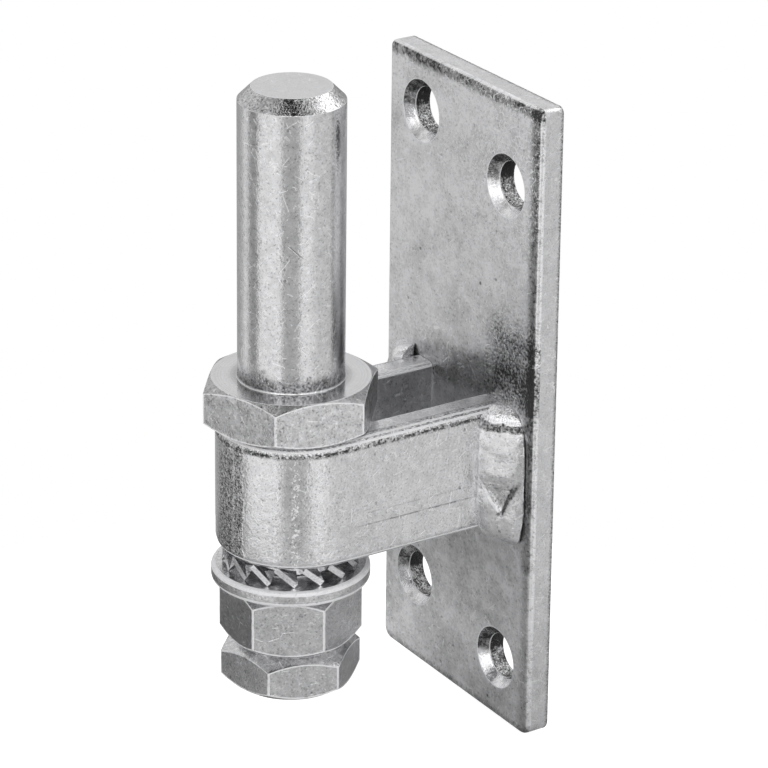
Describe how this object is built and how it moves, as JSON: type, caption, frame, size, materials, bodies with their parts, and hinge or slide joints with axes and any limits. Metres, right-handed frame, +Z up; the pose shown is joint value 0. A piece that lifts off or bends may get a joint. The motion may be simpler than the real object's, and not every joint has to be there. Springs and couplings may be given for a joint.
{
  "type": "adjustable screw-on hinge hook",
  "caption": "Adjustable screw-on gate hinge hook: upright pin clamped by nuts in the slot of a U strap welded to a screw-on plate, all zinc plated.",
  "frame": {"origin": "middle of the mounting plate's back face, where it meets the post or wall", "axes": "+Z up along the hinge pin, -Y forwards from the plate towards the pin, +X to the right seen from the front"},
  "size_m": [0.04, 0.0476, 0.1047],
  "materials": {
    "zinc_plate": "bright zinc plated over a rolled plate, faintly mottled by the welding heat",
    "zinc_strap": "bright zinc plated over bent flat bar, with rolling lines and scratches",
    "zinc_weld": "bright zinc plated over a rippled weld bead",
    "zinc_turned_pin": "bright zinc plated over turned steel",
    "zinc_spring_steel": "bright zinc plated over stamped spring steel",
    "zinc_fastener": "bright zinc plated, speckled on the nuts' faces"
  },
  "bodies": {
    "bracket": {"mounting_plate": "zinc_plate", "slotted_strap": "zinc_strap", "weld_bead_right": "zinc_weld", "weld_bead_left": "zinc_weld"},
    "lock_washer": {"toothed_lock_washer": "zinc_spring_steel"},
    "pin": {"hinge_pin": "zinc_turned_pin"},
    "clamp": {"plain_washer": "zinc_fastener"},
    "nut": {"hex_nut": "zinc_fastener"},
    "locking_nut": {"lock_nut": "zinc_fastener"}
  },
  "joints": [
    {"name": "slot_slide", "type": "slide", "parent": "bracket", "child": "lock_washer", "axis": [0, 1, 0], "range_m": [0, 0.0158]},
    {"name": "pin_turn", "type": "hinge", "parent": "lock_washer", "child": "pin", "pos_m": [0, -0.034, 0], "axis": [0, 0, 1], "continuous": true},
    {"name": "clamp_travel", "type": "slide", "parent": "pin", "child": "clamp", "axis": [0, 0, -1], "range_m": [0, 0.00175]},
    {"name": "nut_turn", "type": "hinge", "parent": "clamp", "child": "nut", "pos_m": [0, -0.034, -0.029], "axis": [0, 0, -1], "range_deg": [0, 361]},
    {"name": "lock_nut_turn", "type": "hinge", "parent": "clamp", "child": "locking_nut", "pos_m": [0, -0.034, -0.0375], "axis": [0, 0, -1], "range_deg": [0, 361]}
  ],
  "couplings": [
    {"joint": "nut_turn", "follows": "clamp_travel", "rad_per_m": 3590.4},
    {"joint": "lock_nut_turn", "follows": "clamp_travel", "rad_per_m": 3590.4}
  ]
}
